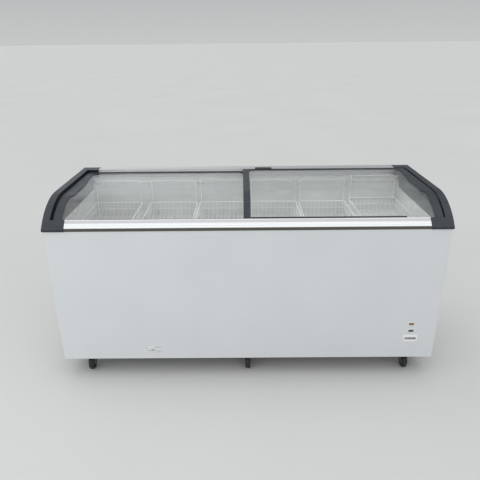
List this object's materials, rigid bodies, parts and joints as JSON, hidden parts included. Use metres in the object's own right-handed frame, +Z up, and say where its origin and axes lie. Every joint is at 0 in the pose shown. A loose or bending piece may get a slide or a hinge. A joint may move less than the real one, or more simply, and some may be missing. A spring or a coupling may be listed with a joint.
{
  "type": "chest freezer",
  "caption": "Long chest display freezer with two curved sliding glass lids, hanging wire baskets, aluminium track rails, plastic end frames and swivel casters.",
  "frame": {"origin": "on the floor under the centre of the freezer's outline", "axes": "+X along the freezer to the customer's right, -Y towards the customer, +Z up"},
  "size_m": [1.8, 0.685, 0.889],
  "materials": {
    "white_sheet": "satin",
    "charcoal_plastic": "satin",
    "black_plastic": "satin",
    "rail_aluminium": "satin",
    "lid_glass": "gloss",
    "liner_white": "satin",
    "basket_wire": "satin",
    "foam": "matte",
    "zinc_steel": "satin",
    "copper": "satin",
    "caster_tyre": "matte",
    "amber_lens": "gloss",
    "green_lens": "gloss",
    "white_plastic": "satin",
    "display_window": "gloss",
    "black_enamel": "satin"
  },
  "bodies": {
    "cabinet": {"front_panel": "white_sheet", "left_side_panel": "white_sheet", "right_side_panel": "white_sheet", "rear_panel": "white_sheet", "machine_grille": "white_sheet", "cable_gland": "black_plastic", "base_pan": "zinc_steel", "front_base_rail": "zinc_steel", "rear_base_rail": "zinc_steel", "drain_plug": "black_plastic", "inner_tub": "liner_white", "rear_trim_strip": "liner_white", "front_trim_strip": "liner_white", "insulation_foam": "foam", "evaporator_coil": "copper", "left_end_frame": "charcoal_plastic", "right_end_frame": "charcoal_plastic", "front_rail": "rail_aluminium", "rear_rail": "rail_aluminium", "rail_stop_block": "black_plastic", "amber_lamp": "amber_lens", "green_lamp": "green_lens", "thermometer_bezel": "white_plastic", "thermometer_display": "display_window", "compressor": "black_enamel", "condenser_coil": "copper", "front_left_caster_plate": "zinc_steel", "front_middle_caster_plate": "zinc_steel", "front_right_caster_plate": "zinc_steel", "rear_left_caster_plate": "zinc_steel", "rear_middle_caster_plate": "zinc_steel", "rear_right_caster_plate": "zinc_steel"},
    "left_lid": {"left_lid_glass": "lid_glass", "left_lid_handle_frame": "charcoal_plastic", "left_lid_centre_frame": "charcoal_plastic", "left_lid_front_glide": "black_plastic", "left_lid_rear_frame": "black_plastic"},
    "right_lid": {"right_lid_glass": "lid_glass", "right_lid_handle_frame": "charcoal_plastic", "right_lid_centre_frame": "charcoal_plastic", "right_lid_front_glide": "black_plastic", "right_lid_rear_frame": "black_plastic"},
    "basket_1": {"basket_1": "basket_wire"},
    "basket_2": {"basket_2": "basket_wire"},
    "basket_3": {"basket_3": "basket_wire"},
    "basket_4": {"basket_4": "basket_wire"},
    "basket_5": {"basket_5": "basket_wire"},
    "basket_6": {"basket_6": "basket_wire"},
    "front_left_caster_fork": {"front_left_caster_fork": "zinc_steel"},
    "front_left_caster_wheel": {"front_left_caster_wheel": "caster_tyre"},
    "front_middle_caster_fork": {"front_middle_caster_fork": "zinc_steel"},
    "front_middle_caster_wheel": {"front_middle_caster_wheel": "caster_tyre"},
    "front_right_caster_fork": {"front_right_caster_fork": "zinc_steel"},
    "front_right_caster_wheel": {"front_right_caster_wheel": "caster_tyre"},
    "rear_left_caster_fork": {"rear_left_caster_fork": "zinc_steel"},
    "rear_left_caster_wheel": {"rear_left_caster_wheel": "caster_tyre"},
    "rear_middle_caster_fork": {"rear_middle_caster_fork": "zinc_steel"},
    "rear_middle_caster_wheel": {"rear_middle_caster_wheel": "caster_tyre"},
    "rear_right_caster_fork": {"rear_right_caster_fork": "zinc_steel"},
    "rear_right_caster_wheel": {"rear_right_caster_wheel": "caster_tyre"}
  },
  "joints": [
    {"name": "left_lid_slide", "type": "slide", "parent": "cabinet", "child": "left_lid", "axis": [1, 0, 0], "range_m": [0, 0.845]},
    {"name": "right_lid_slide", "type": "slide", "parent": "cabinet", "child": "right_lid", "axis": [1, 0, 0], "range_m": [-0.845, 0]},
    {"name": "basket_1_lift", "type": "slide", "parent": "cabinet", "child": "basket_1", "axis": [0, 0, 1], "range_m": [0, 0.02]},
    {"name": "basket_2_lift", "type": "slide", "parent": "cabinet", "child": "basket_2", "axis": [0, 0, 1], "range_m": [0, 0.02]},
    {"name": "basket_3_lift", "type": "slide", "parent": "cabinet", "child": "basket_3", "axis": [0, 0, 1], "range_m": [0, 0.02]},
    {"name": "basket_4_lift", "type": "slide", "parent": "cabinet", "child": "basket_4", "axis": [0, 0, 1], "range_m": [0, 0.02]},
    {"name": "basket_5_lift", "type": "slide", "parent": "cabinet", "child": "basket_5", "axis": [0, 0, 1], "range_m": [0, 0.02]},
    {"name": "basket_6_lift", "type": "slide", "parent": "cabinet", "child": "basket_6", "axis": [0, 0, 1], "range_m": [0, 0.008]},
    {"name": "front_left_caster_swivel", "type": "hinge", "parent": "cabinet", "child": "front_left_caster_fork", "pos_m": [-0.785, -0.245, 0.1], "axis": [0, 0, 1], "continuous": true},
    {"name": "front_left_caster_roll", "type": "hinge", "parent": "front_left_caster_fork", "child": "front_left_caster_wheel", "pos_m": [-0.785, -0.27, 0.0375], "axis": [1, 0, 0], "continuous": true},
    {"name": "front_middle_caster_swivel", "type": "hinge", "parent": "cabinet", "child": "front_middle_caster_fork", "pos_m": [0, -0.245, 0.1], "axis": [0, 0, 1], "continuous": true},
    {"name": "front_middle_caster_roll", "type": "hinge", "parent": "front_middle_caster_fork", "child": "front_middle_caster_wheel", "pos_m": [0, -0.27, 0.0375], "axis": [1, 0, 0], "continuous": true},
    {"name": "front_right_caster_swivel", "type": "hinge", "parent": "cabinet", "child": "front_right_caster_fork", "pos_m": [0.785, -0.245, 0.1], "axis": [0, 0, 1], "continuous": true},
    {"name": "front_right_caster_roll", "type": "hinge", "parent": "front_right_caster_fork", "child": "front_right_caster_wheel", "pos_m": [0.785, -0.27, 0.0375], "axis": [1, 0, 0], "continuous": true},
    {"name": "rear_left_caster_swivel", "type": "hinge", "parent": "cabinet", "child": "rear_left_caster_fork", "pos_m": [-0.785, 0.245, 0.1], "axis": [0, 0, 1], "continuous": true},
    {"name": "rear_left_caster_roll", "type": "hinge", "parent": "rear_left_caster_fork", "child": "rear_left_caster_wheel", "pos_m": [-0.785, 0.22, 0.0375], "axis": [1, 0, 0], "continuous": true},
    {"name": "rear_middle_caster_swivel", "type": "hinge", "parent": "cabinet", "child": "rear_middle_caster_fork", "pos_m": [0, 0.245, 0.1], "axis": [0, 0, 1], "continuous": true},
    {"name": "rear_middle_caster_roll", "type": "hinge", "parent": "rear_middle_caster_fork", "child": "rear_middle_caster_wheel", "pos_m": [0, 0.22, 0.0375], "axis": [1, 0, 0], "continuous": true},
    {"name": "rear_right_caster_swivel", "type": "hinge", "parent": "cabinet", "child": "rear_right_caster_fork", "pos_m": [0.785, 0.245, 0.1], "axis": [0, 0, 1], "continuous": true},
    {"name": "rear_right_caster_roll", "type": "hinge", "parent": "rear_right_caster_fork", "child": "rear_right_caster_wheel", "pos_m": [0.785, 0.22, 0.0375], "axis": [1, 0, 0], "continuous": true}
  ]
}
